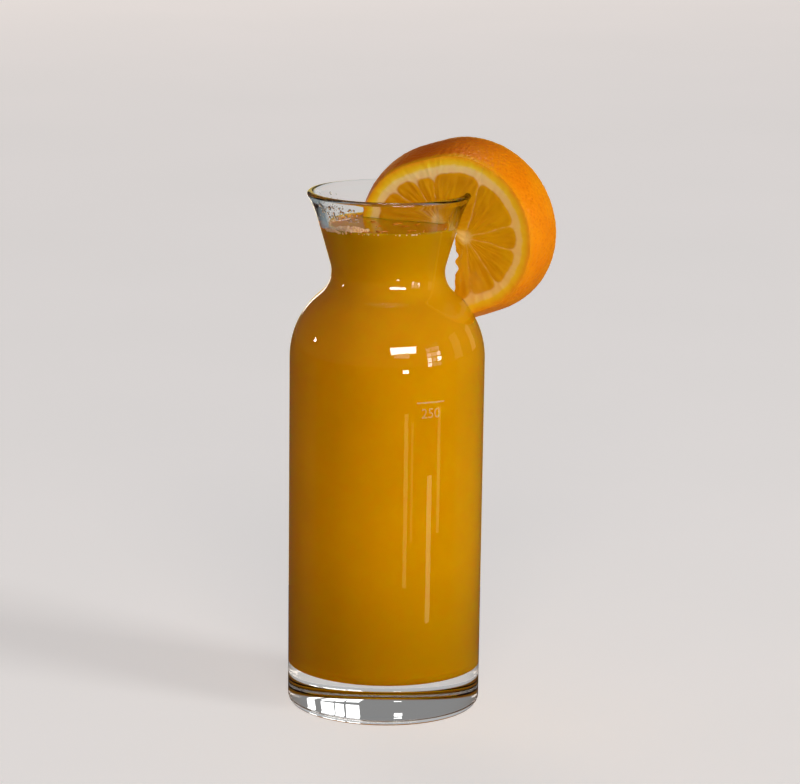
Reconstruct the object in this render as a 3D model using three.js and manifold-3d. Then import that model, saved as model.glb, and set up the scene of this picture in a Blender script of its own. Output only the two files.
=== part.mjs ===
// Quarter-litre glass carafe of orange juice with a thick slice of orange hung on its rim.
// Millimetres, +Z up. The origin is the middle of the base's underside, on the carafe's axis.
// -Y is the front. The slice hangs on the +X side of the rim and shows its cut face to the front.
import * as THREE from "three";
import { mergeVertices } from "three/addons/utils/BufferGeometryUtils.js";
import Module from "manifold-3d";

const wasm = await Module();
wasm.setup();

const { degToRad, lerp } = THREE.MathUtils;

// Carafe: clear pressed glass, turned about Z, with a heavy base, a waist and a flared mouth
const RIM_HEIGHT = 172;
const BODY_RADIUS = 32;
const BASE_RADIUS = 31.7;
const HEEL_RADIUS = 3.6;
const SHOULDER_START = 117.3;
const SHOULDER_RADIUS = 27.4;
const SHOULDER_TURN = degToRad(48.6);
const WAIST_RADIUS = 18.6;
const WAIST_CURVE = 9.2;
const FLARE_ANGLE = degToRad(16);
const LIP_TURN_OUT = 1.3;
const LIP_SHARPNESS = 6;
const WALL = 3;
const LIP_WALL = 2.4;
const BASE_THICKNESS = 13.3;
const INNER_CORNER = 4;

// Juice: fills the carafe to a little below the lip
const JUICE_LEVEL = 160.6;

// Orange slice: a round of a small orange, cut in front well off its middle and behind close to it
const ORANGE_RADIUS = 29.6;
const FACE_DEPTH = 12.8;
const BACK_DEPTH = -1;
const FACE_CENTRE = new THREE.Vector3(18.4, 2.9, 156.3);
const SLICE_YAW = degToRad(24);
const SLICE_LEAN = degToRad(6);
const RIND = 4.6;
const CORE_RADIUS = 3;
const CORE_OFFSET = 2;
const SEGMENTS = 10;
const PULP_RISE = 0.5;
// The slit is pushed open over the rim, so the two halves stand apart.
const SPREAD = 4;
const SPREAD_EASE = 2.5;
const SPREAD_TILT = degToRad(19);
const SLIT_X = 22.1;
const INNER_HALF_FOOT = 147;

// Clearance between pieces that touch on the real object, and how far a cut runs past its piece
const GAP = 0.35;
const OVERRUN = 1;

// Fineness of the facets: steps along arcs, rings across the pulp as shares of its width,
// and the distance under which two corners are the same
const TURN_STEPS = 56;
const ARC_STEPS = 7;
const FLARE_STEPS = 5;
const CORNER_STEPS = 4;
const STEPS_PER_SEGMENT = 6;
const PULP_RINGS = [0, 0.15, 0.55, 0.94, 1];
const SAME_PLACE = 1e-3;

const point = (radius, height) => new THREE.Vector2(radius, height);

// Points along an arc, both ends included
function arc(centre, radius, from, to, steps) {
  return Array.from({ length: steps + 1 }, (_, i) => {
    const angle = lerp(from, to, i / steps);
    return point(centre.x + radius * Math.cos(angle), centre.y + radius * Math.sin(angle));
  });
}

// Places on the outside of the wall, from the shoulder up to the lip
const shoulderCentre = point(BODY_RADIUS - SHOULDER_RADIUS, SHOULDER_START);
const shoulderEnd = arc(shoulderCentre, SHOULDER_RADIUS, 0, SHOULDER_TURN, 1)[1];
const slopeEndRadius = WAIST_RADIUS + WAIST_CURVE * (1 - Math.cos(SHOULDER_TURN));
const slopeRise = (shoulderEnd.x - slopeEndRadius) / Math.tan(SHOULDER_TURN);
const waistHeight = shoulderEnd.y + slopeRise + WAIST_CURVE * Math.sin(SHOULDER_TURN);
const waistCentre = point(WAIST_RADIUS + WAIST_CURVE, waistHeight);
const flareFoot = arc(waistCentre, WAIST_CURVE, Math.PI, Math.PI - FLARE_ANGLE, 1)[1];
const lipHeight = RIM_HEIGHT - LIP_WALL / 2;

// Wall surface from the shoulder to the lip: depth 0 is the outside and 1 the inside of the glass,
// and clearance moves the surface further towards the axis.
function wallCurve(depth, clearance) {
  const inset = depth * WALL + clearance;
  const shoulder = arc(shoulderCentre, SHOULDER_RADIUS - inset, 0, SHOULDER_TURN, ARC_STEPS);
  const waist = arc(
    waistCentre,
    WAIST_CURVE + inset,
    Math.PI + SHOULDER_TURN,
    Math.PI - FLARE_ANGLE,
    ARC_STEPS,
  );
  const foot = waist.at(-1).y;
  const flare = Array.from({ length: FLARE_STEPS }, (_, i) => {
    const height = lerp(foot, lipHeight, (i + 1) / FLARE_STEPS);
    const rise = (height - flareFoot.y) / (lipHeight - flareFoot.y);
    const outside =
      flareFoot.x +
      (height - flareFoot.y) * Math.tan(FLARE_ANGLE) +
      LIP_TURN_OUT * rise ** LIP_SHARPNESS;
    const thickness = lerp(WALL / Math.cos(FLARE_ANGLE), LIP_WALL, rise);
    return point(outside - depth * thickness - clearance, height);
  });
  return [...shoulder, ...waist, ...flare];
}

// The part of a wall curve above a height, starting exactly there
function above(curve, height) {
  const next = curve.findIndex((p) => p.y > height);
  const start = curve[next - 1];
  const share = (height - start.y) / (curve[next].y - start.y);
  return [start.clone().lerp(curve[next], share), ...curve.slice(next)];
}

// The part of a wall curve below a height, ending exactly there
function below(curve, height) {
  return [...curve.filter((p) => p.y < height), above(curve, height)[0]];
}

// Floor and lower wall of the inside, from the axis to the shoulder's start
function cavityFoot(clearance) {
  const wall = BODY_RADIUS - WALL - clearance;
  const floor = BASE_THICKNESS + clearance;
  const corner = point(wall - INNER_CORNER, floor + INNER_CORNER);
  return [point(0, floor), ...arc(corner, INNER_CORNER, -Math.PI / 2, 0, CORNER_STEPS)];
}

// A profile turned about Z
function turned(profile) {
  return new THREE.LatheGeometry(profile, TURN_STEPS).rotateX(Math.PI / 2);
}

// A closed geometry as a solid that can be joined and cut
function solid(geometry) {
  const bare = new THREE.BufferGeometry().setAttribute("position", geometry.getAttribute("position"));
  bare.setIndex(geometry.index);
  const merged = mergeVertices(bare, SAME_PLACE);
  return new wasm.Manifold(
    new wasm.Mesh({
      numProp: 3,
      vertProperties: merged.getAttribute("position").array,
      triVerts: new Uint32Array(merged.index.array),
    }),
  );
}

// A solid as a geometry again
function geometryOf(shape) {
  const mesh = shape.getMesh();
  const geometry = new THREE.BufferGeometry();
  geometry.setAttribute("position", new THREE.BufferAttribute(mesh.vertProperties, mesh.numProp));
  geometry.setIndex(new THREE.BufferAttribute(mesh.triVerts, 1));
  geometry.computeVertexNormals();
  return geometry;
}

// A box that crosses the whole object below a height, or only its part on the -X side of a plane
function blockBelow(height, sideX = 2 * BODY_RADIUS) {
  const size = 2 * RIM_HEIGHT;
  return solid(new THREE.BoxGeometry(size, size, size).translate(sideX - size / 2, 0, height - size / 2));
}

function carafeGeometry() {
  const heelCentre = point(BASE_RADIUS - HEEL_RADIUS, HEEL_RADIUS);
  const heel = arc(heelCentre, HEEL_RADIUS, -Math.PI / 2, 0, CORNER_STEPS);
  const outside = wallCurve(0, 0);
  const inside = wallCurve(1, 0);
  const lipCentre = point(outside.at(-1).x - LIP_WALL / 2, lipHeight);
  const lip = arc(lipCentre, LIP_WALL / 2, 0, Math.PI, CORNER_STEPS).slice(1, -1);
  return turned([
    point(0, 0),
    ...heel,
    ...outside,
    ...lip,
    ...inside.reverse(),
    ...cavityFoot(0).reverse(),
  ]);
}

// Share of the pulp's rise at a place on a cut face: pulp stands a little proud between the thin
// membranes, and the core, the pith and the rind lie in the plane.
function pulpRelief(radius, angle, pulpEdge) {
  if (radius <= CORE_RADIUS || radius >= pulpEdge) return 0;
  return Math.sqrt(Math.abs(Math.sin((angle * SEGMENTS) / 2)));
}

// The whole round before it is slit, where it hangs: grown by a clearance on every side,
// and with its pulp rising this far between the membranes
function orangeRound(grow, rise) {
  const radius = ORANGE_RADIUS + grow;
  const front = FACE_DEPTH + grow + PULP_RISE - rise;
  const back = BACK_DEPTH - grow - PULP_RISE + rise;
  const frontEdge = Math.sqrt(radius ** 2 - front ** 2);
  const backEdge = Math.sqrt(radius ** 2 - back ** 2);
  const faceRings = (edge) => [
    0,
    ...PULP_RINGS.map((share) => lerp(CORE_RADIUS, edge - RIND, share)),
  ];
  const rind = arc(
    point(0, 0),
    radius,
    Math.atan2(back, backEdge),
    Math.atan2(front, frontEdge),
    ARC_STEPS,
  );
  const round = new THREE.LatheGeometry(
    [
      ...faceRings(backEdge).map((r) => point(r, back)),
      ...rind,
      ...faceRings(frontEdge).reverse().map((r) => point(r, front)),
    ],
    SEGMENTS * STEPS_PER_SEGMENT,
  );

  const apart = new THREE.Vector3(Math.cos(SPREAD_TILT), 0, -Math.sin(SPREAD_TILT));
  const places = round.getAttribute("position");
  const p = new THREE.Vector3();
  for (let i = 0; i < places.count; i += 1) {
    p.fromBufferAttribute(places, i);
    const r = Math.hypot(p.x, p.z);
    const angle = Math.atan2(p.x, p.z);
    if (p.y > front - SAME_PLACE) p.y += rise * pulpRelief(r, angle, frontEdge - RIND);
    else if (p.y < back + SAME_PLACE) p.y -= rise * pulpRelief(r, angle, backEdge - RIND);
    p.x += CORE_OFFSET * Math.max(0, 1 - r / frontEdge);
    const across = (p.x - CORE_OFFSET) * apart.x + p.z * apart.z;
    p.addScaledVector(apart, SPREAD * Math.tanh(across / SPREAD_EASE));
    places.setXYZ(i, p.x, p.y, p.z);
  }

  const outwards = new THREE.Vector3(Math.cos(SLICE_YAW), -Math.sin(SLICE_YAW), 0);
  const normal = new THREE.Vector3(-Math.sin(SLICE_YAW), -Math.cos(SLICE_YAW), 0);
  normal.applyAxisAngle(outwards, SLICE_LEAN);
  const downwards = new THREE.Vector3().crossVectors(outwards, normal);
  const placed = new THREE.Matrix4().makeBasis(outwards, normal, downwards);
  placed.setPosition(FACE_CENTRE.clone().addScaledVector(normal, -FACE_DEPTH));
  return solid(round.applyMatrix4(placed));
}

// The slit and the room for the glass: below the rim the slice lies either inside the mouth,
// down to the waist, or outside past the slit's cut, and keeps clear of the wall on both sides.
function slit() {
  const slitTop = RIM_HEIGHT + GAP;
  const inside = above(wallCurve(1, GAP), INNER_HALF_FOOT);
  const outside = wallCurve(0, -GAP);
  const lipOutside = point(outside.at(-1).x, slitTop);
  const lipInside = point(inside.at(-1).x, slitTop);
  const glassRoom = solid(
    turned([
      point(0, SHOULDER_START),
      ...outside,
      lipOutside,
      lipInside,
      ...[...inside].reverse(),
      point(0, INNER_HALF_FOOT),
    ]),
  );
  const mouth = solid(
    turned([
      point(0, INNER_HALF_FOOT),
      ...inside,
      point(inside.at(-1).x, slitTop + OVERRUN),
      point(0, slitTop + OVERRUN),
    ]),
  );
  return blockBelow(slitTop, SLIT_X).subtract(mouth).add(glassRoom);
}

function juiceGeometry() {
  const surface = below(wallCurve(1, GAP), JUICE_LEVEL);
  const full = solid(turned([...cavityFoot(GAP), ...surface, point(0, JUICE_LEVEL)]));
  const dipped = orangeRound(GAP, 0).subtract(blockBelow(INNER_HALF_FOOT - GAP));
  return geometryOf(full.subtract(dipped));
}

function sliceGeometry() {
  return geometryOf(orangeRound(0, PULP_RISE).subtract(slit()));
}

const clearGlass = new THREE.MeshStandardMaterial({
  name: "clear_glass",
  color: "#e8f0ee",
  roughness: 0.03,
  metalness: 0,
  transparent: true,
  opacity: 0.3,
});
const orangeJuice = new THREE.MeshStandardMaterial({
  name: "orange_juice",
  color: "#d8920a",
  roughness: 0.25,
  metalness: 0,
});
const orangeFlesh = new THREE.MeshStandardMaterial({
  name: "orange_flesh",
  color: "#e89a14",
  roughness: 0.4,
  metalness: 0,
});

function piece(name, geometry, material) {
  const mesh = new THREE.Mesh(geometry, material);
  mesh.name = name;
  return mesh;
}

const drink = new THREE.Group();
drink.add(piece("carafe", carafeGeometry(), clearGlass));
drink.add(piece("juice", juiceGeometry(), orangeJuice));
drink.add(piece("orange_slice", sliceGeometry(), orangeFlesh));

export default drink;
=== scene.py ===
import math

import bpy
import numpy as np
from mathutils import Color, Matrix, Vector, noise


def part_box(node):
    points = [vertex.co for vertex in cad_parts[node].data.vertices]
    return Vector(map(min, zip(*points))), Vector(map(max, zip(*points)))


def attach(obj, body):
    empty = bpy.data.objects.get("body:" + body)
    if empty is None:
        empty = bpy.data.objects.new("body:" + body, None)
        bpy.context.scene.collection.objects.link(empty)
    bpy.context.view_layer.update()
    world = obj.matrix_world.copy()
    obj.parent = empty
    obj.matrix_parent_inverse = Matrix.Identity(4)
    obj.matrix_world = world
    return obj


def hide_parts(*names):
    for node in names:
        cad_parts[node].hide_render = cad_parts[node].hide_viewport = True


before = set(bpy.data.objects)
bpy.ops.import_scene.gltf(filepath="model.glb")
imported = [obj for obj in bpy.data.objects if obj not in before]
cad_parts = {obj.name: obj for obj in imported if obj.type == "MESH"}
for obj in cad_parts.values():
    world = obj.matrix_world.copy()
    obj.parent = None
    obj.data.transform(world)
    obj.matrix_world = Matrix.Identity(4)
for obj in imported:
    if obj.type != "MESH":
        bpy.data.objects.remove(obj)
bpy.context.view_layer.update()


# Carafe
# One piece of clear pressed glass, turned about Z, with a heavy base, a round shoulder, a waist and
# a flared mouth. The lip is fire-polished to a half round, and the underside is pushed up a little,
# so that the carafe stands on a ring.
body_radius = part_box("carafe")[1].x
rim_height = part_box("carafe")[1].z
base_radius = 0.0317
heel_radius = 0.0036
shoulder_start = 0.1173
shoulder_radius = 0.0274
shoulder_turn = math.radians(48.6)
waist_radius = 0.0186
waist_curve = 0.0092
flare_angle = math.radians(16)
lip_turn_out = 0.0013
lip_sharpness = 6
wall = 0.003
lip_wall = 0.0024
base_thickness = 0.0133
inner_corner = 0.004
punt_radius = 0.025
punt_height = 0.0008
glass_steps = 160
arc_steps = 16
wall_rings = 16
slope_rings = 2
weld_gap = 1e-6
full_turn = 2 * math.pi
quarter = full_turn / 4


def arc(centre, radius, start, end, steps=arc_steps):
    """Points (radius, height) along an arc, both ends included."""
    turn = np.linspace(start, end, steps + 1)
    return [(centre[0] + radius * math.cos(a), centre[1] + radius * math.sin(a)) for a in turn]


def straight(start, end, steps):
    """Points between two places, without either."""
    shares = np.linspace(0, 1, steps + 2)[1:-1]
    return [tuple(np.array(start) + (np.array(end) - start) * share) for share in shares]


shoulder_centre = (body_radius - shoulder_radius, shoulder_start)
shoulder_end = arc(shoulder_centre, shoulder_radius, 0, shoulder_turn)[-1]
slope_end_radius = waist_radius + waist_curve * (1 - math.cos(shoulder_turn))
slope_rise = (shoulder_end[0] - slope_end_radius) / math.tan(shoulder_turn)
waist_height = shoulder_end[1] + slope_rise + waist_curve * math.sin(shoulder_turn)
waist_centre = (waist_radius + waist_curve, waist_height)
flare_foot = arc(waist_centre, waist_curve, math.pi, math.pi - flare_angle)[-1]
lip_height = rim_height - lip_wall / 2


def flare_place(height, depth):
    """Radius of the flared mouth at a height, outside at depth 0 and inside at depth 1."""
    rise = (height - flare_foot[1]) / (lip_height - flare_foot[1])
    turn_out = lip_turn_out * max(rise, 0) ** lip_sharpness
    outside = flare_foot[0] + (height - flare_foot[1]) * math.tan(flare_angle) + turn_out
    thickness = wall / math.cos(flare_angle) * (1 - rise) + lip_wall * rise
    return outside - depth * thickness


def wall_curve(depth, clearance):
    """Wall from shoulder to lip, outside at depth 0 and inside at depth 1, moved in by a clearance."""
    inset = depth * wall + clearance
    shoulder = arc(shoulder_centre, shoulder_radius - inset, 0, shoulder_turn)
    waist = arc(waist_centre, waist_curve + inset, math.pi + shoulder_turn, math.pi - flare_angle)
    heights = np.linspace(waist[-1][1], lip_height, arc_steps + 1)[1:]
    flare = [(flare_place(height, depth) - clearance, height) for height in heights]
    return [*shoulder, *straight(shoulder[-1], waist[0], slope_rings), *waist, *flare]


def cavity_foot(clearance):
    """Floor and lower wall of the inside, from the axis to the shoulder's start."""
    floor = base_thickness + clearance
    side = body_radius - wall - clearance
    corner = arc((side - inner_corner, floor + inner_corner), inner_corner, -quarter, 0)
    bottom = straight((0, floor), corner[0], wall_rings)
    return [(0, floor), *bottom, *corner, *straight(corner[-1], (side, shoulder_start), wall_rings)]


def turned(name, profile, steps=glass_steps):
    """One corner drawn out along a profile of (radius, height), then spun about Z into a closed skin."""
    bpy.ops.mesh.primitive_plane_add(size=wall, enter_editmode=True)
    bpy.ops.mesh.select_mode(type="VERT")
    bpy.ops.mesh.merge(type="CENTER")
    places = [Vector((radius, 0, height)) for radius, height in profile]
    bpy.ops.transform.translate(value=places[0])
    for before, after in zip(places, places[1:]):
        bpy.ops.mesh.extrude_vertices_move(TRANSFORM_OT_translate={"value": after - before})
    bpy.ops.mesh.select_all(action="SELECT")
    bpy.ops.mesh.spin(steps=steps, angle=full_turn, center=(0, 0, 0), axis=(0, 0, 1))
    bpy.ops.mesh.select_all(action="SELECT")
    bpy.ops.mesh.remove_doubles(threshold=weld_gap)
    bpy.ops.mesh.normals_make_consistent(inside=False)
    bpy.ops.object.mode_set(mode="OBJECT")
    bpy.ops.object.shade_smooth()
    piece = bpy.context.object
    piece.name = name
    piece.data.name = name
    return piece


punt = [(punt_radius * s, punt_height * (1 - s**2)) for s in np.linspace(0, 1, wall_rings)]
heel = arc((base_radius - heel_radius, heel_radius), heel_radius, -quarter, 0)
outside = wall_curve(0, 0)
inside = wall_curve(1, 0)
lip = arc((outside[-1][0] - lip_wall / 2, lip_height), lip_wall / 2, 0, math.pi)[1:-1]
carafe = turned(
    "carafe_glass",
    [
        *punt,
        *heel,
        *straight(heel[-1], outside[0], wall_rings),
        *outside,
        *lip,
        *inside[::-1],
        *cavity_foot(0)[::-1],
    ],
)


def tone(red, green, blue):
    """A colour as seen on a screen, 0 to 255, as linear light."""
    seen = Color((red / 255, green / 255, blue / 255))
    return (*seen.from_srgb_to_scene_linear(), 1)


def connect(socket, value):
    """Links a socket to another, or sets its value."""
    if isinstance(value, bpy.types.NodeSocket):
        socket.id_data.links.new(value, socket)
    else:
        socket.default_value = value


def feed(made, **inputs):
    """Links or sets a node's inputs, each named with _ in place of spaces."""
    for key, value in inputs.items():
        connect(made.inputs[key.replace("_", " ")], value)


def node(tree, kind, settings=None, **inputs):
    """A node with its settings and its inputs."""
    made = tree.nodes.new(kind)
    for key, value in (settings or {}).items():
        setattr(made, key, value)
    feed(made, **inputs)
    return made


def grain(tree, place, scale, detail):
    """Soft noise, mostly between 0.2 and 0.8."""
    return node(tree, "ShaderNodeTexNoise", Vector=place, Scale=scale, Detail=detail).outputs["Fac"]


def mapped(tree, value, low, high, first=0.0, last=1.0, kind="LINEAR"):
    """A value that runs from first to last as another runs from low to high."""
    made = node(
        tree,
        "ShaderNodeMapRange",
        {"interpolation_type": kind},
        Value=value,
        From_Min=low,
        From_Max=high,
        To_Min=first,
        To_Max=last,
    )
    return made.outputs["Result"]


def bump(tree, height, strength, depth, inwards=False):
    """A normal that is tilted by a height, without moving the surface."""
    made = node(
        tree, "ShaderNodeBump", {"invert": inwards}, Height=height, Strength=strength, Distance=depth
    )
    return made.outputs["Normal"]


def new_material(name):
    """A material with its node tree, its Principled shader and the piece's own coordinates."""
    material = bpy.data.materials.new(name)
    material.use_nodes = True
    tree = material.node_tree
    place = node(tree, "ShaderNodeTexCoord").outputs["Object"]
    return material, tree, tree.nodes["Principled BSDF"], place


def let_light_through(tree, shader):
    """Lets lamp light and soft light pass straight through clear glass."""
    path = node(tree, "ShaderNodeLightPath")
    open_air = node(tree, "ShaderNodeBsdfTransparent").outputs["BSDF"]
    surface = shader.outputs["BSDF"]
    for ray in ("Is Diffuse Ray", "Is Shadow Ray"):
        mixed = node(tree, "ShaderNodeMixShader", Fac=path.outputs[ray])
        tree.links.new(surface, mixed.inputs[1])
        tree.links.new(open_air, mixed.inputs[2])
        surface = mixed.outputs["Shader"]
    tree.links.new(surface, tree.nodes["Material Output"].inputs["Surface"])


def dress(piece, *materials):
    """Gives a piece its materials, in order, in place of any that it has."""
    piece.data.materials.clear()
    for material in materials:
        piece.data.materials.append(material)


glass_ior = 1.5
smudge_scale = 90.0
smudge_start, smudge_full = 0.5, 0.8
smudge_haze = 0.035
wave_scale = 45.0
wave_strength = 0.04
wave_depth = 0.002
clear_glass, tree, shader, place = new_material("clear_glass")
smudge = grain(tree, place, smudge_scale, detail=3.0)
feed(
    shader,
    Base_Color=tone(253, 255, 254),
    Roughness=mapped(tree, smudge, smudge_start, smudge_full, 0.0, smudge_haze),
    Transmission_Weight=1,
    IOR=glass_ior,
    Normal=bump(tree, grain(tree, place, wave_scale, detail=0.0), wave_strength, wave_depth),
)
let_light_through(tree, shader)
dress(carafe, clear_glass)
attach(carafe, "root")
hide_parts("carafe")


# Measuring mark
# A fill line over its plain number of millilitres, printed on the glass in thin pale enamel and fired
# on, to the right of the front.
mark_turn = math.radians(-63.5)
line_height = 0.108
line_length = 0.0098
line_width = 0.00055
number_text = "250"
number_height = 0.0032
number_foot = 0.1029
print_thickness = 0.00005
line_cuts = 12
bpy.ops.object.text_add()
number = bpy.context.object
number.data.body = number_text
number.data.align_x = "CENTER"
number.data.extrude = print_thickness / 2
bpy.context.view_layer.update()
number.data.size = number_height / number.dimensions.y
number.location = (0, number_foot, 0)
bpy.ops.object.convert(target="MESH")
number = bpy.context.object
bpy.ops.object.transform_apply(location=True, rotation=True, scale=True)
bpy.ops.mesh.primitive_cube_add(
    size=1, location=(0, line_height, 0), scale=(line_length, line_width, print_thickness)
)
mark = bpy.context.object
mark.name = "measuring_mark"
mark.data.name = mark.name
bpy.ops.object.transform_apply(location=True, rotation=False, scale=True)
bpy.ops.object.mode_set(mode="EDIT")
bpy.ops.mesh.select_all(action="SELECT")
bpy.ops.mesh.subdivide(number_cuts=line_cuts)
bpy.ops.object.mode_set(mode="OBJECT")
number.select_set(True)
bpy.ops.object.join()


def corners(piece):
    """A piece's corner places as an array."""
    flat = np.empty(3 * len(piece.data.vertices), np.float32)
    piece.data.vertices.foreach_get("co", flat)
    return flat.reshape(-1, 3).astype(float)


def move_corners(piece, places):
    """Puts a piece's corners at new places."""
    piece.data.vertices.foreach_set("co", places.astype(np.float32).ravel())
    piece.data.update()


along, height, proud = corners(mark).T
side = np.interp(height, (heel_radius, shoulder_start), (base_radius, body_radius)) + proud
turn = mark_turn + along / body_radius
move_corners(mark, np.column_stack((side * np.cos(turn), side * np.sin(turn), height)))
speck_scale = 900.0
thin_print, full_print = 0.3, 0.7
cover_least, cover_most = 0.07, 0.17
enamel, tree, shader, place = new_material("pale_enamel")
specks = grain(tree, place, speck_scale, detail=2.0)
feed(
    shader,
    Base_Color=tone(255, 232, 196),
    Roughness=0.55,
    Alpha=mapped(tree, specks, thin_print, full_print, cover_least, cover_most),
)
dress(mark, enamel)
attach(mark, "root")


# Orange slice
# A thick round of a small orange, cut across its segments and slit from below, so that it hangs on
# the rim with one half inside the mouth. The slit stands open round the glass.
mm = 0.001
orange_radius = 0.0296
face_depth = 0.0133
back_depth = -0.0015
face_centre = Vector((0.0184, 0.0029, 0.1563))
flat_depth = 0.0128
slice_yaw = math.radians(24)
slice_lean = math.radians(6)
core_offset = 0.002
spread = 0.004
spread_ease = 0.0025
spread_tilt = math.radians(19)
slit_place = 0.0216
inner_half_foot = 0.147
wet_overlap = 0.0001
above_rim = 0.00015
face_rings = 46
rind_rings = 34
round_steps = 400

outwards = np.array((math.cos(slice_yaw), -math.sin(slice_yaw), 0))
level = np.array((-math.sin(slice_yaw), -math.cos(slice_yaw), 0))
facing = level * math.cos(slice_lean) + np.array((0, 0, -1)) * math.sin(slice_lean)
upwards = np.cross(facing, outwards)
round_basis = np.array((outwards, upwards, facing))
round_centre = np.array(face_centre) - flat_depth * facing
apart = np.array((math.cos(spread_tilt), math.sin(spread_tilt)))
front_edge = math.sqrt(orange_radius**2 - flat_depth**2)


def orange_round(name, grow, rings, steps):
    """The round before it is slit, hung in its place and pushed open, grown on every side."""
    radius, front, back = orange_radius + grow, face_depth + grow, back_depth - grow
    rind = arc((0, 0), radius, math.asin(back / radius), math.asin(front / radius), rind_rings)
    back_face = [(0, back), *straight((0, back), rind[0], rings)]
    front_face = [*straight(rind[-1], (0, front), rings), (0, front)]
    piece = turned(name, [*back_face, *rind, *front_face], steps)
    flat = corners(piece)
    flat[:, 0] += core_offset * np.clip(1 - np.hypot(flat[:, 0], flat[:, 1]) / front_edge, 0, 1)
    across = (flat[:, :2] - (core_offset, 0)) @ apart
    flat[:, :2] += spread * np.tanh(across / spread_ease)[:, None] * apart
    move_corners(piece, round_centre + flat @ round_basis)
    return piece


def cut(piece, cutter):
    """Cuts a piece with another, which is used up."""
    modifier = piece.modifiers.new("cut", "BOOLEAN")
    modifier.operation = "DIFFERENCE"
    modifier.solver = "MANIFOLD"
    modifier.object = cutter
    bpy.context.view_layer.objects.active = piece
    bpy.ops.object.modifier_apply(modifier=modifier.name)
    bpy.data.objects.remove(cutter)


def above(curve, height):
    """The part of a wall curve above a height, starting exactly there."""
    radii, heights = np.array(curve).T
    return [(np.interp(height, heights, radii), height), *[p for p in curve if p[1] > height]]


# The knife's block, from the slit's rough cut towards the mouth
block_low = Vector((-0.016, -0.016, 0.12))
block_high = Vector((slit_place, 0.032, rim_height + above_rim))
cut_grain = 84
rough_scale = 260
rough_depth = 0.00065
fine_share = 0.5
fine_scale = 3
bite_heights = (0.1507, 0.1464)
bite_depth = 0.0011
bite_half = 0.0012
bite_slope = 0.2
slit_widening = 0.35
slit_widening_most = 0.0025
bpy.ops.mesh.primitive_cube_add(
    size=1, location=(block_low + block_high) / 2, scale=block_high - block_low
)
bpy.ops.object.transform_apply(location=True, rotation=False, scale=True)
knife = bpy.context.object
bpy.ops.object.mode_set(mode="EDIT")
bpy.ops.mesh.select_mode(type="FACE")
bpy.ops.mesh.select_all(action="DESELECT")
bpy.ops.object.mode_set(mode="OBJECT")
for side in knife.data.polygons:
    side.select = round(side.normal.x) == 1
bpy.ops.object.mode_set(mode="EDIT")
bpy.ops.mesh.subdivide(number_cuts=cut_grain)
bpy.ops.object.mode_set(mode="OBJECT")
knife_places = corners(knife)
behind_face = np.clip(face_depth - (knife_places - round_centre) @ facing, 0, None)
for i, corner in enumerate(knife_places):
    if corner[0] > slit_place - above_rim:
        coarse = Vector(corner) * rough_scale
        rough = noise.noise(coarse) + fine_share * noise.noise(coarse * fine_scale)
        sloped = corner[2] + bite_slope * behind_face[i]
        bites = sum(math.exp(-(((sloped - height) / bite_half) ** 2)) for height in bite_heights)
        widening = min(slit_widening * behind_face[i], slit_widening_most)
        knife_places[i, 0] += rough_depth * rough + bite_depth * bites + widening
move_corners(knife, knife_places)

inner_wall = above(wall_curve(1, -wet_overlap), inner_half_foot)
outer_wall = wall_curve(0, wet_overlap)
above_slit = rim_height + 2 * above_rim
mouth_room = turned(
    "mouth_room",
    [(0, inner_half_foot), *inner_wall, (inner_wall[-1][0], above_slit), (0, above_slit)],
)
lip_centre = (outside[-1][0] - lip_wall / 2, lip_height)
lip_room = arc(lip_centre, lip_wall / 2 - wet_overlap, 0, math.pi)[1:-1]
glass_room = turned(
    "glass_room",
    [(0, shoulder_start), *outer_wall, *lip_room, *inner_wall[::-1], (0, inner_half_foot)],
)
orange_slice = orange_round("orange_slice_cut", 0, face_rings, round_steps)
cut(knife, mouth_room)
cut(orange_slice, knife)
cut(orange_slice, glass_room)

# Where the flesh is: membranes run from the two torn halves of the core to the pith.
inner_core = np.array((-2.0, 5.5)) * mm
outer_core = np.array((7.4, 0.7)) * mm
inner_membranes = (96, 123, 150, 187, 222, 258)
outer_membranes = (74, 18, -10, -54, -86)
core_half = 0.0025
torn_half = 0.001
pith_depth = 0.0047
lobe_round = 0.0026
lobe_unevenness = 0.0007
lobe_swell = 130
membrane_sway = 0.0006
sway_scale = 210
sway_seed = 3
pith_relief = 0.0003
vesicle_width = 0.0013
vesicle_length = 0.005
vesicle_relief = 0.00024
segment_middle = 0.014
count_start = 1.5 * quarter
closing_steps = 30


def smooth_least(first, second, ease):
    """The lesser of two distances, rounded where they meet."""
    near = np.clip(ease - np.abs(first - second), 0, None) / ease
    return np.minimum(first, second) - near**2 * ease / 4


def face_places(piece):
    """Corners as places along the face: outwards, upwards and along its normal, from its middle."""
    return (corners(piece) - round_centre) @ round_basis.T


def skin_depth(places):
    """How far each place lies under the orange's skin, taken before the slit was pushed open."""
    shifted = (places[:, :2] - (core_offset, 0)) @ apart
    across = shifted.copy()
    for _ in range(closing_steps):
        slope = 1 + spread / spread_ease / np.cosh(across / spread_ease) ** 2
        across -= (across + spread * np.tanh(across / spread_ease) - shifted) / slope
    closed = places[:, :2] - (shifted - across)[:, None] * apart
    return orange_radius - np.sqrt((closed**2).sum(1) + places[:, 2] ** 2)


def membrane_gap(places):
    """Distance from each place to the nearest membrane."""
    nearest = np.full(len(places), orange_radius)
    for core, angles in ((inner_core, inner_membranes), (outer_core, outer_membranes)):
        from_core = places[:, :2] - core
        reach = np.hypot(*from_core.T)
        for angle in np.radians(angles):
            along = from_core @ (math.cos(angle), math.sin(angle))
            beside = np.abs(from_core @ (-math.sin(angle), math.cos(angle)))
            nearest = np.minimum(nearest, np.where(along > 0, beside, reach))
    return nearest


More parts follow.
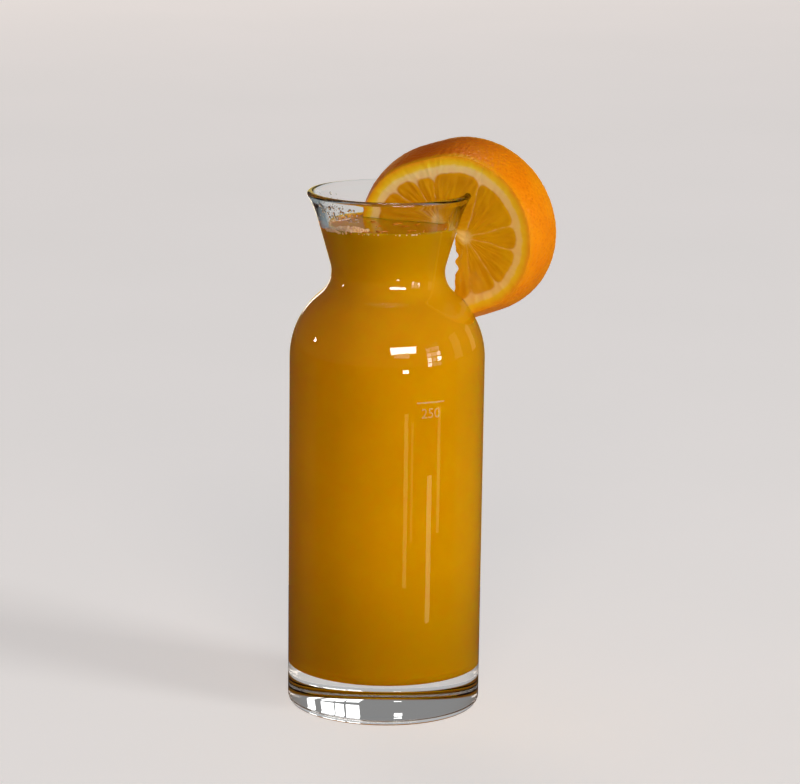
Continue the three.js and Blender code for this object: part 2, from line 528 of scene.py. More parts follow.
def core_gap(places):
    """Distance from each place to the two torn halves of the core and the tear between them."""
    tear = outer_core - inner_core
    share = np.clip((places[:, :2] - inner_core) @ tear / (tear @ tear), 0, 1)
    gap = np.hypot(*(places[:, :2] - inner_core - share[:, None] * tear).T) - torn_half
    for core in (inner_core, outer_core):
        gap = smooth_least(gap, np.hypot(*(places[:, :2] - core).T) - core_half, core_half)
    return gap


def vesicle_places(places):
    """Places in the pulp counted in vesicles: across, along and through a segment."""
    split = math.radians(outer_membranes[0])
    from_outer = places[:, :2] - outer_core
    on_outer = from_outer @ (math.sin(split), -math.cos(split)) > 0
    from_core = np.where(on_outer[:, None], from_outer, places[:, :2] - inner_core)
    turn = np.mod(np.arctan2(from_core[:, 1], from_core[:, 0]) + count_start, full_turn)
    return np.column_stack(
        (
            turn * segment_middle / vesicle_width,
            np.hypot(*from_core.T) / vesicle_length,
            places[:, 2] / vesicle_width + on_outer * round_steps,
        )
    )


def keep_values(piece, name, values):
    """Stores a value for each corner, for the material to read."""
    kind = "FLOAT" if values.ndim == 1 else "FLOAT_VECTOR"
    attribute = piece.data.attributes.new(name, kind, "POINT")
    key = "value" if values.ndim == 1 else "vector"
    attribute.data.foreach_set(key, values.astype(np.float32).ravel())


places = face_places(orange_slice)
depth = skin_depth(places)
noise.seed_set(sway_seed)
sway = np.array([noise.noise_vector(Vector(p) * sway_scale) for p in places])
swell = np.array([noise.noise(Vector(p) * lobe_swell) for p in places])
membranes = membrane_gap(places + membrane_sway * sway)
lobes = smooth_least(depth - pith_depth + lobe_unevenness * swell, membranes, lobe_round)
vesicles = vesicle_places(places)
on_skin = np.clip(1 - depth / pith_relief, 0, 1)
in_pulp = np.clip(lobes / pith_relief / 2, 0, 1)
under_skin = np.clip(depth / pith_depth, 0, 1)
cell_edge = np.array([noise.voronoi(Vector(v))[0][0] for v in vesicles])
sunk = pith_relief * (1 - in_pulp) * under_skin + vesicle_relief * cell_edge * in_pulp
normals = np.empty(3 * len(places), np.float32)
orange_slice.data.vertex_normals.foreach_get("vector", normals)
move_corners(orange_slice, corners(orange_slice) - sunk[:, None] * normals.reshape(-1, 3))
edge_gap = np.minimum(face_depth - places[:, 2], places[:, 2] - back_depth)
keep_values(orange_slice, "skin_depth_mm", depth / mm)
keep_values(orange_slice, "lobe_depth_mm", lobes / mm)
keep_values(orange_slice, "membrane_gap_mm", membranes / mm)
keep_values(orange_slice, "core_gap_mm", core_gap(places) / mm)
keep_values(orange_slice, "edge_gap_mm", edge_gap / mm)
keep_values(orange_slice, "vesicle_place", vesicles)

# Oil pores pit the rind.
pore_size = 0.0012
pore_depth = 0.00022
pored_share = 0.9
rind_share = 0.6
crease_angle = math.radians(42)
rind_group = orange_slice.vertex_groups.new(name="rind")
for index in np.flatnonzero(on_skin > pored_share):
    rind_group.add([int(index)], 1, "REPLACE")
pores = bpy.data.textures.new("oil_pores", "VORONOI")
pores.noise_scale = pore_size
pitting = orange_slice.modifiers.new("pores", "DISPLACE")
pitting.texture = pores
pitting.texture_coords = "LOCAL"
pitting.strength = pore_depth
pitting.mid_level = 1
pitting.vertex_group = rind_group.name
bpy.context.view_layer.objects.active = orange_slice
bpy.ops.object.modifier_apply(modifier=pitting.name)


def crease(piece):
    """Smooths a piece's shading, apart from its sharp edges."""
    bpy.ops.object.select_all(action="DESELECT")
    piece.select_set(True)
    bpy.context.view_layer.objects.active = piece
    bpy.ops.object.shade_smooth_by_angle(angle=crease_angle)


crease(orange_slice)


def blend(tree, factor, first, second):
    """Colour between two colours or sockets, by a factor."""
    made = node(tree, "ShaderNodeMix", {"data_type": "RGBA"})
    for socket, value in zip((made.inputs[0], *made.inputs[6:8]), (factor, first, second)):
        connect(socket, value)
    return made.outputs[2]


def steps_of_colour(tree, value, places, colours):
    """Colour that runs through colours at places as the value grows."""
    ramp = node(tree, "ShaderNodeValToRGB", Fac=value)
    elements = ramp.color_ramp.elements
    for index, (place, colour) in enumerate(zip(places, colours)):
        element = elements[index] if index < len(elements) else elements.new(place)
        element.position = place
        element.color = colour
    return ramp.outputs["Color"]


def mottle_group():
    """Node group: soft uneven patches between two colours."""
    patch_start, patch_full = 0.32, 0.68
    group = bpy.data.node_groups.new("mottle", "ShaderNodeTree")
    for name, kind in (("Vector", "Vector"), ("Scale", "Float"), ("First", "Color"), ("Second", "Color")):
        group.interface.new_socket(name, in_out="INPUT", socket_type="NodeSocket" + kind)
    group.interface.new_socket("Color", in_out="OUTPUT", socket_type="NodeSocketColor")
    given = group.nodes.new("NodeGroupInput").outputs
    result = group.nodes.new("NodeGroupOutput")
    patches = grain(group, given["Vector"], given["Scale"], detail=4.0)
    share = mapped(group, patches, patch_start, patch_full)
    feed(result, Color=blend(group, share, given["First"], given["Second"]))
    return group


mottle = mottle_group()


def mottled(tree, place, scale, first, second):
    """Uneven colour from the mottle group."""
    settings = {"node_tree": mottle}
    made = node(tree, "ShaderNodeGroup", settings, Vector=place, Scale=scale, First=first, Second=second)
    return made.outputs["Color"]


def attribute(tree, name, output="Fac"):
    """Values stored on a piece's corners."""
    return node(tree, "ShaderNodeAttribute", {"attribute_name": name}).outputs[output]


def eased(tree, value, low, high, first=0.0, last=1.0):
    """A mapped value with soft ends."""
    return mapped(tree, value, low, high, first, last, "SMOOTHSTEP")


def maths(tree, operation, *values, kind="ShaderNodeMath"):
    """Values put together by one operation."""
    made = node(tree, kind, {"operation": operation})
    for socket, value in zip(made.inputs, values):
        connect(socket, value)
    return made.outputs["Value"]


def roughened(tree, place, value, scale, amount):
    """A value shifted to and fro by fine noise, so that a border drawn by it is ragged."""
    middle = 0.5
    centred = maths(tree, "SUBTRACT", grain(tree, place, scale, detail=3.0), middle)
    return maths(tree, "MULTIPLY_ADD", centred, amount, value)


def towards_upper_left(tree, place):
    """How far each place lies towards the upper left, which painted shade on the rind and painted light
    on the peel follow.
    """
    return maths(tree, "DOT_PRODUCT", place, upper_left_direction, kind="ShaderNodeVectorMath")


# Rind: waxy, deep orange, with painted shade that darkens and browns it towards the upper left, oil pores
# darker in their pits (partly their own colour, partly painted shade), paler along the cut, and there
# yellower towards the upper left as painted light
upper_left_direction = (-0.5, 0, 0.866)
skin_patch_scale = 90.0
pit_reach, pit_shade_and_colour = 0.5, 0.4
pit_strength, pit_depth = 0.35, 0.0004
upper_left_scale, upper_left_shift = 60.0, 0.008
rind_shade_start, rind_shade_full, rind_shade_most = 0.135, 0.17, 0.92
edge_scale, edge_shift_mm = 350.0, 1.6
edge_width_mm, edge_most = 2.2, 0.95
edge_light_start, edge_light_full = 0.13, 0.16
waxy_rind, tree, shader, place = new_material("waxy_rind")
skin = mottled(tree, place, skin_patch_scale, tone(246, 158, 3), tone(239, 139, 1))
pits = node(tree, "ShaderNodeTexVoronoi", Vector=place, Scale=1 / pore_size).outputs["Distance"]
# Partly painted shade: the pits of the oil pores are darker than the skin round them, partly their own
# colour.
pit_shade_and_colour_mask = eased(tree, pits, 0.0, pit_reach, pit_shade_and_colour, 0.0)
# Painted shade: the rind is made darker and browner towards the upper left.
ragged_upper_left = roughened(tree, place, towards_upper_left(tree, place), upper_left_scale, upper_left_shift)
rind_painted_shade_mask = eased(tree, ragged_upper_left, rind_shade_start, rind_shade_full, 0.0, rind_shade_most)
skin_with_painted_shade = blend(tree, rind_painted_shade_mask, skin, tone(172, 66, 0))
skin_colour = blend(tree, pit_shade_and_colour_mask, skin_with_painted_shade, tone(214, 98, 0))
edge = roughened(tree, place, attribute(tree, "edge_gap_mm"), edge_scale, edge_shift_mm)
edge_mask = eased(tree, edge, 0.0, edge_width_mm, edge_most, 0.0)
# Painted light: the edge along the cut turns yellower towards the upper left.
edge_painted_light_mask = eased(tree, ragged_upper_left, edge_light_start, edge_light_full)
edge_colour = blend(tree, edge_painted_light_mask, tone(238, 154, 4), tone(240, 192, 10))
feed(
    shader,
    Base_Color=blend(tree, edge_mask, skin_colour, edge_colour),
    Normal=bump(tree, pits, pit_strength, pit_depth),
    Roughness=0.38,
    Specular_IOR_Level=0.15,
    Subsurface_Weight=0.12,
    Subsurface_Radius=(1, 0.4, 0.05),
    Subsurface_Scale=0.002,
)

# Cut flesh: oil glands, pale pith, thin membranes and wet pulp, with painted light that makes the peel
# paler towards the upper left, and painted highlights round the juice sacs
peel_scale, peel_shift_mm = 420.0, 1.1
peel_depth_mm = 4.9
peel_steps = (0.0, 0.12, 0.3, 0.48, 0.62, 1.0)
peel_light_start, peel_light_full = 0.12, 0.148
pulp_patch_scale = 150.0
bead_highlight_start, bead_highlight_full, bead_highlight_most = 0.25, 0.9, 0.45
bead_strength, bead_depth = 0.5, 0.0006
membrane_scale, membrane_shift_mm = 300.0, 0.35
membrane_half_mm, membrane_most = 0.75, 0.5
core_scale, core_shift_mm = 380.0, 1.2
torn_start_mm, torn_end_mm, torn_most = -0.9, 1.8, 0.9
core_start_mm, core_end_mm, core_most = -1.6, 0.3, 0.92
lobe_scale, lobe_shift_mm = 500.0, 0.5
lobe_border_mm = 0.35
peel_roughness, pulp_roughness = 0.5, 0.14
cut_flesh, tree, shader, place = new_material("cut_flesh")
deep = roughened(tree, place, attribute(tree, "skin_depth_mm"), peel_scale, peel_shift_mm)
layer = mapped(tree, deep, 0.0, peel_depth_mm)
plain_peel = steps_of_colour(
    tree,
    layer,
    peel_steps,
    (
        tone(240, 158, 4),
        tone(240, 173, 4),
        tone(242, 196, 6),
        tone(245, 208, 26),
        tone(247, 214, 116),
        tone(245, 206, 118),
    ),
)
peel_painted_light = steps_of_colour(
    tree,
    layer,
    peel_steps,
    (
        tone(242, 166, 4),
        tone(246, 192, 6),
        tone(250, 214, 10),
        tone(252, 226, 60),
        tone(252, 234, 160),
        tone(250, 226, 160),
    ),
)
# Painted light: the peel layers are made paler towards the upper left.
peel_light_mask = eased(tree, towards_upper_left(tree, place), peel_light_start, peel_light_full)
peel_colour = blend(tree, peel_light_mask, plain_peel, peel_painted_light)
pulp = mottled(tree, place, pulp_patch_scale, tone(213, 156, 2), tone(225, 174, 6))
cells = attribute(tree, "vesicle_place", "Vector")
beads = node(tree, "ShaderNodeTexVoronoi", {"feature": "SMOOTH_F1"}, Vector=cells, Scale=1.0)
bead_gap = beads.outputs["Distance"]
# Painted highlight: each juice sac is made paler round its rim.
bead_painted_highlight_mask = eased(tree, bead_gap, bead_highlight_start, bead_highlight_full, 0.0, bead_highlight_most)
pulp_colour = blend(tree, bead_painted_highlight_mask, pulp, tone(236, 174, 16))
membrane = roughened(
    tree, place, attribute(tree, "membrane_gap_mm"), membrane_scale, membrane_shift_mm
)
membrane_mask = eased(tree, membrane, 0.0, membrane_half_mm, membrane_most, 0.0)
segment_colour = blend(tree, membrane_mask, pulp_colour, tone(232, 176, 32))
core = roughened(tree, place, attribute(tree, "core_gap_mm"), core_scale, core_shift_mm)
torn_mask = eased(tree, core, torn_start_mm, torn_end_mm, torn_most, 0.0)
torn_colour = blend(tree, torn_mask, segment_colour, tone(234, 188, 34))
core_mask = eased(tree, core, core_start_mm, core_end_mm, core_most, 0.0)
core_colour = blend(tree, core_mask, torn_colour, tone(255, 226, 138))
lobe = roughened(tree, place, attribute(tree, "lobe_depth_mm"), lobe_scale, lobe_shift_mm)
in_segment = eased(tree, lobe, -lobe_border_mm, lobe_border_mm)
feed(
    shader,
    Base_Color=blend(tree, in_segment, peel_colour, core_colour),
    Roughness=eased(tree, lobe, -lobe_border_mm, lobe_border_mm, peel_roughness, pulp_roughness),
    Normal=bump(tree, bead_gap, bead_strength, bead_depth, inwards=True),
    Specular_IOR_Level=0.3,
    Subsurface_Weight=0.35,
    Subsurface_Radius=(1, 0.55, 0.12),
    Subsurface_Scale=0.002,
)
dress(orange_slice, waxy_rind, cut_flesh)
skin_corner = on_skin > rind_share
for side in orange_slice.data.polygons:
    side.material_index = 0 if all(skin_corner[v] for v in side.vertices) else 1
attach(orange_slice, "root")
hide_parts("orange_slice")


# Juice
# Cloudy orange juice, filled to a little below the lip. It wets the glass all round and climbs a
# little at the wall, and less at the slice, which stands in it.
juice_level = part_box("juice")[1].z
into_wall = 0.0002
climb = 0.0009
slice_climb = 0.0003
climb_reach = 0.0012
surface_rings = 40
hollow_rings = 4
hollow_steps = 96
juice_wall = wall_curve(1, -into_wall)
filled = [p for p in juice_wall if p[1] < juice_level]
edge_radius = above(juice_wall, juice_level)[0][0]
surface = [(edge_radius * s, juice_level) for s in np.linspace(1, 0, surface_rings)]
juice = turned("orange_juice", [*cavity_foot(-into_wall), *filled, *surface])
places = corners(juice)
top = places[:, 2] > juice_level - into_wall
from_wall = edge_radius - np.hypot(places[:, 0], places[:, 1])
along_facing = face_places(juice)[:, 2]
from_slice = np.maximum(along_facing - face_depth, back_depth - along_facing)
wall_rise = climb * np.exp(-from_wall / climb_reach)
slice_rise = slice_climb * np.exp(-np.clip(from_slice, 0, None) / climb_reach)
places[:, 2] += np.where(top, np.maximum(wall_rise, slice_rise), 0)
move_corners(juice, places)
hollow = orange_round("slice_hollow", -into_wall, hollow_rings, hollow_steps)
below_half = inner_half_foot + into_wall
block_size = 2 * body_radius
bpy.ops.mesh.primitive_cube_add(size=block_size * 2, location=(0, 0, below_half - block_size))
cut(hollow, bpy.context.object)
cut(juice, hollow)

# Three looks of the same juice: in the glass, with painted shade towards the bottom and in the neck; on
# its wet surface, without the neck's painted shade; and at its foot, with a painted glow
cloud_scale = 55.0
thick_scale = 900.0
thick_start, thick_full, thick_most = 0.62, 0.8, 0.35
low_shade_foot, low_shade_top, low_shade_most = 0.012, 0.068, 0.8
neck_shade_foot, neck_shade_top, neck_shade_most = 0.138, 0.161, 0.75
painted_foot_glow = 0.25
facing_down = -0.98
cloudy_juice, tree, shader, place = new_material("cloudy_juice")
cloud = mottled(tree, place, cloud_scale, tone(213, 160, 2), tone(207, 152, 0))
thick = grain(tree, place, thick_scale, detail=2.0)
thick_mask = mapped(tree, thick, thick_start, thick_full, 0.0, thick_most)
thick_colour = blend(tree, thick_mask, cloud, tone(218, 160, 10))
height = node(tree, "ShaderNodeSeparateXYZ", Vector=place).outputs["Z"]
# Painted shade: the juice is made darker towards the bottom.
low_shade_mask = eased(tree, height, low_shade_foot, low_shade_top, low_shade_most, 0.0)
low_shaded_colour = blend(tree, low_shade_mask, thick_colour, tone(166, 124, 1))
# Painted shade: the juice is made darker in the neck.
neck_shade_mask = eased(tree, height, neck_shade_foot, neck_shade_top, 0.0, neck_shade_most)
neck_shade_mask.node.name = "neck_shade_mask"
feed(
    shader,
    Base_Color=blend(tree, neck_shade_mask, low_shaded_colour, tone(168, 132, 2)),
    Roughness=0.45,
    Specular_IOR_Level=0,
    Subsurface_Weight=0.8,
    Subsurface_Radius=(1, 0.32, 0.04),
    Subsurface_Scale=0.011,
)
wet_surface = cloudy_juice.copy()
wet_surface.name = "juice_surface"
nodes = wet_surface.node_tree.nodes
feed(nodes["Principled BSDF"], Specular_IOR_Level=0.12, Roughness=0.04)
# The wet surface is left without the neck's painted shade.
feed(nodes["neck_shade_mask"], To_Max=0)
# Painted glow: the juice's flat underside glows faintly, standing for light that reaches it.
painted_glow_foot = cloudy_juice.copy()
painted_glow_foot.name = "juice_foot_painted_glow"
shader = painted_glow_foot.node_tree.nodes["Principled BSDF"]
feed(shader, Emission_Color=tone(210, 143, 2), Emission_Strength=painted_foot_glow)
dress(juice, cloudy_juice, wet_surface, painted_glow_foot)
for side in juice.data.polygons:
    if side.center.z > juice_level - into_wall and side.normal.z > 0:
        side.material_index = 1
    elif side.center.z < base_thickness + inner_corner and side.normal.z < facing_down:
        side.material_index = 2
crease(juice)
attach(juice, "root")
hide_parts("juice")


# Foam
# Bubbles left by pouring, gathered against the wall in front of the slice and thinly along the rest of
# the edge. They stand half sunk in the juice.
foam_start, foam_end = math.radians(200), math.radians(239)
foam_width_least, foam_width_most = 0.0016, 0.0085
foam_height_least, foam_height_most = 0.0006, 0.0029
foam_bubbles = 1500
foam_taper = 1.5
foam_crowding = 1.3
bubble_least, bubble_most = 0.00016, 0.0006
mostly_small = 2.5
edge_bubbles = 160
edge_bubble_most = 0.0004
edge_width = 0.001
edge_crowding = 2
draw = np.random.default_rng(11)


def between(least, most, share):
    """Values at shares of the way between two."""
    return least + (most - least) * share


def template(stretch):
    """Corners and sides of a small ball, stretched."""
    bpy.ops.mesh.primitive_ico_sphere_add(subdivisions=2, radius=1)
    ball = bpy.context.object
    shape = corners(ball) * stretch
    sides = np.array([side.vertices[:] for side in ball.data.polygons])
    bpy.data.objects.remove(ball)
    return shape, sides


def scattered(name, shape, sides, centres, frames):
    """Copies of one shape in a single mesh, each at its centre in its own scaled frame."""
    places = (shape[None] @ frames + centres[:, None]).reshape(-1, 3)
    starts = np.arange(len(centres)) * len(shape)
    faces = (sides[None] + starts[:, None, None]).reshape(-1, 3)
    data = bpy.data.meshes.new(name)
    data.from_pydata(places.tolist(), [], faces.tolist())
    data.shade_smooth()
    piece = bpy.data.objects.new(name, data)
    bpy.context.scene.collection.objects.link(piece)
    return piece


def off_slice(centres):
    """How far each place lies in front of the slice's face or behind its back."""
    along = (centres - round_centre) @ facing
    return np.maximum(along - face_depth, back_depth - along)


def ring_places(turn, inset, rise):
    """Places on the juice at an angle, at a distance from the wall, raised above the level."""
    reach = edge_radius - inset
    heights = np.broadcast_to(juice_level + rise, turn.shape)
    return np.column_stack((reach * np.cos(turn), reach * np.sin(turn), heights))


share = draw.random(foam_bubbles)
width = between(foam_width_least, foam_width_most, share**foam_taper)
inset = width * draw.random(foam_bubbles) ** foam_crowding
pile = between(foam_height_least, foam_height_most, share)
rise = pile * (1 - inset / width) * draw.random(foam_bubbles)
foam_places = ring_places(between(foam_start, foam_end, share), inset + bubble_least, rise)
foam_sizes = between(bubble_least, bubble_most, draw.random(foam_bubbles) ** mostly_small)
edge_turn = draw.random(edge_bubbles) * full_turn
edge_inset = bubble_least + edge_width * draw.random(edge_bubbles) ** edge_crowding
edge_places = ring_places(edge_turn, edge_inset, climb / 2)
edge_sizes = between(bubble_least, edge_bubble_most, draw.random(edge_bubbles) ** edge_crowding)
bubble_places = np.concatenate((foam_places, edge_places))
bubble_sizes = np.concatenate((foam_sizes, edge_sizes))
free = off_slice(bubble_places) > 0
bubble_frames = np.eye(3)[None] * bubble_sizes[free, None, None]
foam = scattered("foam", *template((1, 1, 1)), bubble_places[free], bubble_frames)
film_scale = 700.0
foam_skin, tree, shader, place = new_material("foam_skin")
feed(
    shader,
    Base_Color=mottled(tree, place, film_scale, tone(240, 190, 128), tone(250, 220, 186)),
    Roughness=0.18,
    Subsurface_Weight=0.5,
    Subsurface_Radius=(1, 0.6, 0.25),
    Subsurface_Scale=0.0006,
)
dress(foam, foam_skin)
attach(foam, "root")


# Pulp shreds
# Loose juice sacs, orange and wet, that came off the cut flesh. They float on the juice, many of them
# at its front edge beside the foam, and the rest all over it.
shred_count = 46
near_shreds = 18
near_turn = math.radians(243)
near_spread = math.radians(9)
near_inset = 0.0045
inset_least, inset_range = 0.0006, 0.016
shred_shape = (0.0015, 0.00036, 0.00028)
scale_least, scale_range = 0.6, 0.7
shred_turn = draw.random(shred_count) * full_turn
shred_inset = inset_least + inset_range * draw.random(shred_count)
shred_turn[:near_shreds] = near_turn + near_spread * draw.standard_normal(near_shreds)
shred_inset[:near_shreds] = near_inset * draw.random(near_shreds) + shred_shape[1]
shred_places = ring_places(shred_turn, shred_inset, shred_shape[2] / 2)
free = off_slice(shred_places) > shred_shape[0] / 2
heading = draw.random(shred_count) * math.pi
shred_frames = np.zeros((shred_count, 3, 3))
shred_frames[:, 0, :2] = np.column_stack((np.cos(heading), np.sin(heading)))
shred_frames[:, 1, :2] = np.column_stack((-np.sin(heading), np.cos(heading)))
shred_frames[:, 2, 2] = 1
shred_frames *= (scale_least + scale_range * draw.random(shred_count))[:, None, None]
shreds = scattered("pulp_shreds", *template(shred_shape), shred_places[free], shred_frames[free])
sac_scale = 500.0
loose_pulp, tree, shader, place = new_material("loose_pulp")
feed(
    shader,
    Base_Color=mottled(tree, place, sac_scale, tone(198, 122, 5), tone(208, 140, 16)),
    Roughness=0.15,
    Subsurface_Weight=0.3,
    Subsurface_Radius=(1, 0.5, 0.1),
    Subsurface_Scale=0.0008,
)
dress(shreds, loose_pulp)
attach(shreds, "root")


# Droplets
# Water and splashed juice that cling to the inside of the mouth as small clear drops, most of them on
# the left, where the drink was poured in.
drop_least, drop_most = 0.00018, 0.0006
drop_bulge = 0.36
drop_sag = 1.15
drop_into_wall = 0.00004
drop_zones = (
    (120, math.radians(204), math.radians(246), 0.1648, 0.1702),
    (70, math.radians(100), math.radians(200), 0.164, 0.1702),
)
drop_turn = np.concatenate([between(start, end, draw.random(n)) for n, start, end, _, _ in drop_zones])
drop_height = np.concatenate([between(low, high, draw.random(n)) for n, _, _, low, high in drop_zones])
drop_sizes = between(drop_least, drop_most, draw.random(len(drop_turn)) ** mostly_small)
drop_reach = np.array([flare_place(height, 1) for height in drop_height]) + drop_into_wall
sine, cosine = np.sin(drop_turn), np.cos(drop_turn)
drop_places = np.column_stack((drop_reach * cosine, drop_reach * sine, drop_height))
tilted = math.cos(flare_angle)
lifted = np.full(len(drop_turn), math.sin(flare_angle))
inwards = np.column_stack((-cosine * tilted, -sine * tilted, lifted))
sideways = np.column_stack((-sine, cosine, np.zeros(len(drop_turn))))
drop_frames = np.stack((sideways, np.cross(inwards, sideways), inwards), 1) * drop_sizes[:, None, None]
free = off_slice(drop_places) > drop_most
drop_shape = template((1, drop_sag, drop_bulge))
droplets = scattered("droplets", *drop_shape, drop_places[free], drop_frames[free])
water_ior = 1.33
clear_drop, tree, shader, _ = new_material("clear_drop")
feed(shader, Base_Color=tone(255, 250, 240), Roughness=0.02, Transmission_Weight=1, IOR=water_ior)
let_light_through(tree, shader)
dress(droplets, clear_drop)
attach(droplets, "root")


# Floor
# A plain pale tabletop, wide enough to fill the view. Where the glass mirrors it, it is dimmer, and
# dimmest in front of the carafe, so that the glass stays clear there.
floor_size = 12
floor_patch_scale = 6.0
floor_glow = 0.39
floor_glow_in_glass = 0.26
front_glow_in_glass = 0.02
front_end, back_start = -0.06, 0.02
bpy.ops.mesh.primitive_plane_add(size=floor_size)
floor = bpy.context.object
floor.name = "floor"
pale_top, tree, shader, place = new_material("pale_top")
plain = mottled(tree, place, floor_patch_scale, tone(243, 241, 238), tone(240, 238, 234))
rays = node(tree, "ShaderNodeLightPath").outputs
depth_back = node(tree, "ShaderNodeSeparateXYZ", Vector=place).outputs["Y"]
back_mask = eased(tree, depth_back, front_end, back_start)
mirrored_colour = blend(tree, back_mask, tone(24, 23, 22), tone(96, 94, 92))
mirrored_glow = eased(
    tree, depth_back, front_end, back_start, front_glow_in_glass, floor_glow_in_glass
)
shown = maths(tree, "MAXIMUM", rays["Is Camera Ray"], rays["Is Transmission Ray"])
most_glow = mapped(tree, rays["Glossy Depth"], 0.0, 1.0, floor_glow, mirrored_glow)
feed(
    shader,
    Base_Color=blend(tree, rays["Glossy Depth"], plain, mirrored_colour),
    Emission_Color=tone(213, 243, 255),
    Emission_Strength=maths(tree, "MULTIPLY", shown, most_glow),
    Roughness=0.7,
    Specular_IOR_Level=0,
)
dress(floor, pale_top)


# Studio light
# Soft boxes light the part and aren't mirrored in it. Panes and strips stand for the windows that the
# glass mirrors, and light nothing else. The back panes show through the glass alone. The room is dim
# where it is mirrored, so that the juice keeps its own colour.
aim = Vector((0, 0, 0.1))
pane_distance = 1.3
pane_green_loss, pane_blue_loss = 0.3, 0.7
warm_white = tone(255, 250, 240)
candle = tone(255, 226, 130)
pale_candle = tone(255, 232, 160)
streak_beam = math.radians(60)


def lamp_at(name, place, towards, width, height, power, seen_by, colour):
    """An area lamp at a place, turned towards another, seen by some kinds of rays alone."""
    data = bpy.data.lights.new(name, "AREA")
    data.shape = "RECTANGLE"
    data.size = width
    data.size_y = height
    data.energy = power
    data.color = colour[:3]
    lamp = bpy.data.objects.new(name, data)
    lamp.location = place
    lamp.rotation_euler = (place - towards).to_track_quat("Z", "Y").to_euler()
    for ray in ("camera", "diffuse", "glossy", "transmission"):
        setattr(lamp, "visible_" + ray, ray in seen_by)
    bpy.context.scene.collection.objects.link(lamp)
    return lamp


def direction(azimuth, elevation):
    """Unit vector; the azimuth counts from the camera's side towards the right, both in degrees."""
    a, e = math.radians(azimuth), math.radians(elevation)
    return Vector((math.sin(a) * math.cos(e), -math.cos(a) * math.cos(e), math.sin(e)))


def softbox(
    name, azimuth, elevation, distance, width, height, power, colour=(1, 1, 1), through_glass=True
):
    """A soft box aimed at the carafe, kept out of reflections."""
    seen_by = ("diffuse", "transmission") if through_glass else ("diffuse",)
    place = aim + direction(azimuth, elevation) * distance
    lamp_at(name, place, aim, width, height, power, seen_by, colour)


def pane(name, azimuth, elevation, width, height, glow, warmth=0.0, seen_by=("glossy",)):
    """A pane of a given brightness, which shows in reflections alone unless told otherwise."""
    place = aim + direction(azimuth, elevation) * pane_distance
    power = glow * math.pi * width * height
    colour = (1, 1 - pane_green_loss * warmth, 1 - pane_blue_loss * warmth)
    lamp_at(name, place, aim, width, height, power, seen_by, colour)


def strip(name, azimuth, distance, low, high, width, glow, colour=candle, beam=math.pi):
    """An upright strip, which shows in reflections alone; a narrow beam shows near its level alone."""
    middle = Vector((0, 0, (low + high) / 2))
    power = glow * math.pi * width * (high - low)
    place = middle + direction(azimuth, 0) * distance
    lamp = lamp_at(name, place, middle, width, high - low, power, ("glossy",), colour)
    lamp.data.spread = beam


softbox("key", azimuth=58, elevation=14, distance=5, width=1.4, height=1.9, power=123)
softbox(
    "fill",
    azimuth=3,
    elevation=20,
    distance=5,
    width=2.8,
    height=2.8,
    power=97,
    colour=tone(255, 236, 222),
)
softbox("overhead", azimuth=0, elevation=80, distance=1.8, width=1.6, height=1.6, power=1)
softbox(
    "back_fill",
    azimuth=-165,
    elevation=7,
    distance=5,
    width=2.8,
    height=1.1,
    power=115,
    colour=tone(255, 232, 214),
    through_glass=False,
)
pane("window", azimuth=20, elevation=22.5, width=0.68, height=0.2, glow=26)
pane("window_sill", azimuth=17, elevation=15, width=0.4, height=0.12, glow=3, warmth=0.5)
pane("left_window", azimuth=-99.7, elevation=14.7, width=0.07, height=0.08, glow=40)
pane("lip_light", azimuth=10, elevation=95, width=0.3, height=0.27, glow=13)
pane("right_window", azimuth=92.8, elevation=13.3, width=0.3, height=0.55, glow=0.8, warmth=1)
pane("far_right_window", azimuth=124.7, elevation=9, width=0.25, height=0.4, glow=0.8, warmth=1)

# A paned window on the right, with a few panes much brighter than the rest
key_columns = (50.5, 57, 63.5)
key_rows = (1, 7, 13, 19)
key_pane_width, key_pane_height = 0.115, 0.105
key_glow_least, key_glow_range = 1.5, 24
few_bright = 3
key_warmth = 0.15
key_pane_draw = np.random.default_rng(5)
for column, azimuth in enumerate(key_columns):
    for row, elevation in enumerate(key_rows):
        name = f"key_pane_{column}_{row}"
        glow = key_glow_least + key_glow_range * key_pane_draw.random() ** few_bright
        pane(name, azimuth, elevation, key_pane_width, key_pane_height, glow, key_warmth)

# Windows behind, which the base shows upside down
back_columns = ((143.5, 0.15), (153, 0.067), (157, 0.094), (162, 0.094), (168, 0.126))
back_rows = (14, 24)
back_height = 0.2
back_glow = 2.4
in_base = ("transmission",)
for column, (azimuth, width) in enumerate(back_columns):
    for row, elevation in enumerate(back_rows):
        name = f"back_pane_{column}_{row}"
        pane(name, azimuth, elevation, width, back_height, back_glow, seen_by=in_base)
pane("back_spot", azimuth=-174, elevation=16, width=0.07, height=0.06, glow=back_glow, seen_by=in_base)

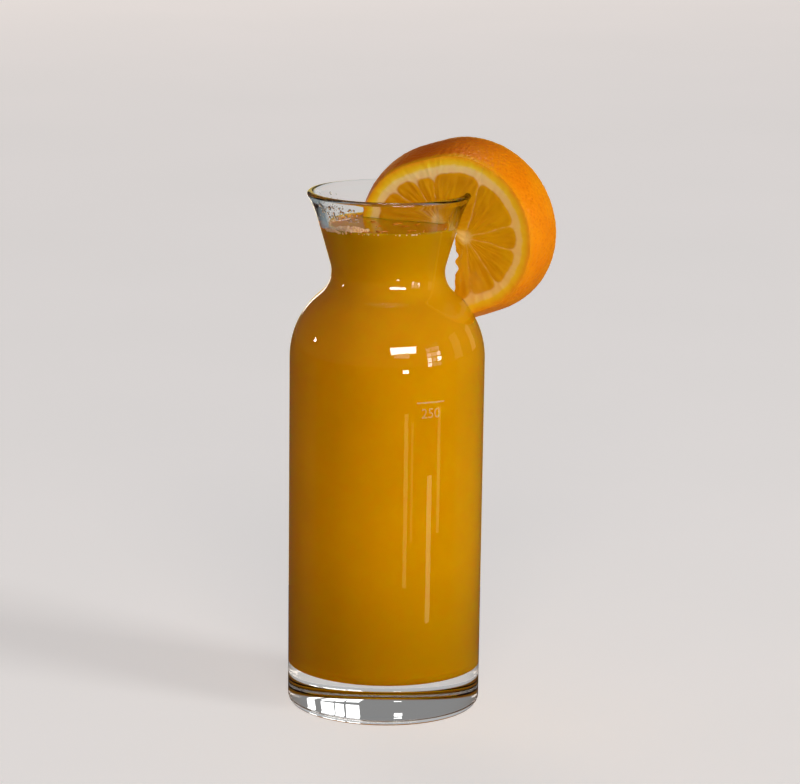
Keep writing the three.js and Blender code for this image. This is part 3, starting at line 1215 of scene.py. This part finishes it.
# Upright streaks on the front, and bright lines along both sides
streaks = {"distance": 0.15, "beam": streak_beam}
strip("near_streak", azimuth=21, low=0.016, high=0.079, width=0.011, glow=0.333, **streaks)
strip("thin_streak", azimuth=27.5, low=0.032, high=0.076, width=0.007, glow=0.152, **streaks)
strip(
    "middle_streak",
    azimuth=47.5,
    low=0.002,
    high=0.056,
    width=0.015,
    glow=0.485,
    colour=pale_candle,
    **streaks,
)
strip("far_streak", azimuth=58.5, low=0.034, high=0.08, width=0.01, glow=0.303, **streaks)
strip(
    "low_window",
    azimuth=20.5,
    distance=0.3,
    low=0.078,
    high=0.1,
    width=0.034,
    glow=24,
    colour=warm_white,
)
edges = {"distance": 0.16, "low": 0, "high": 0.22, "width": 0.045, "glow": 0.9}
strip("left_edge", azimuth=-168, **edges)
strip("right_edge", azimuth=168, **edges)
shoulder_edges = {"distance": 0.16, "low": 0.125, "high": 0.16, "width": 0.014, "glow": 3}
strip("left_shoulder_edge", azimuth=-157, colour=warm_white, **shoulder_edges)
strip("right_shoulder_edge", azimuth=157, colour=warm_white, **shoulder_edges)

# The room: warm where it lights the part, and of another brightness for each way that it is seen
room_light = 0.195
room_mirrored = 0.06
room_seen_through = 0.6
room_seen_in_glass = 0.3
world = bpy.data.worlds.new("studio")
world.use_nodes = True
tree = world.node_tree
rays = node(tree, "ShaderNodeLightPath").outputs
room_colour = blend(tree, rays["Is Diffuse Ray"], tone(236, 236, 238), tone(250, 178, 150))
outside_glass = mapped(tree, rays["Is Glossy Ray"], 0.0, 1.0, room_light, room_mirrored)
through_glass = mapped(tree, rays["Glossy Depth"], 0.0, 1.0, room_seen_through, room_seen_in_glass)
strength = mapped(tree, rays["Is Transmission Ray"], 0.0, 1.0, outside_glass, through_glass)
feed(tree.nodes["Background"], Color=room_colour, Strength=strength)
bpy.context.scene.world = world
bpy.context.scene.view_settings.view_transform = "Standard"


# Camera
# It looks a little down on the carafe, from far enough to keep its sides parallel. Its lens and shift
# give the photo's frame.
picture_width = 800
picture_height = 784
focal_pixels = 3950.09
aim_pixel = (386.05, 449.59)
sensor_width = 36
camera_distance = 1.3
camera_elevation = math.radians(12.445)
camera_roll = math.radians(0.709)
camera_aim = Vector((0, 0, 0.086))
camera_data = bpy.data.cameras.new("camera")
camera_data.sensor_width = sensor_width
camera_data.lens = sensor_width * focal_pixels / picture_width
camera_data.shift_x = (picture_width / 2 - aim_pixel[0]) / picture_width
camera_data.shift_y = (aim_pixel[1] - picture_height / 2) / picture_width
camera = bpy.data.objects.new("camera", camera_data)
away = Vector((0, -math.cos(camera_elevation), math.sin(camera_elevation)))
camera.location = camera_aim + away * camera_distance
look = away.to_track_quat("Z", "Y").to_matrix()
camera.rotation_euler = (look @ Matrix.Rotation(camera_roll, 3, "Z")).to_euler()
bpy.context.scene.collection.objects.link(camera)
bpy.context.scene.camera = camera
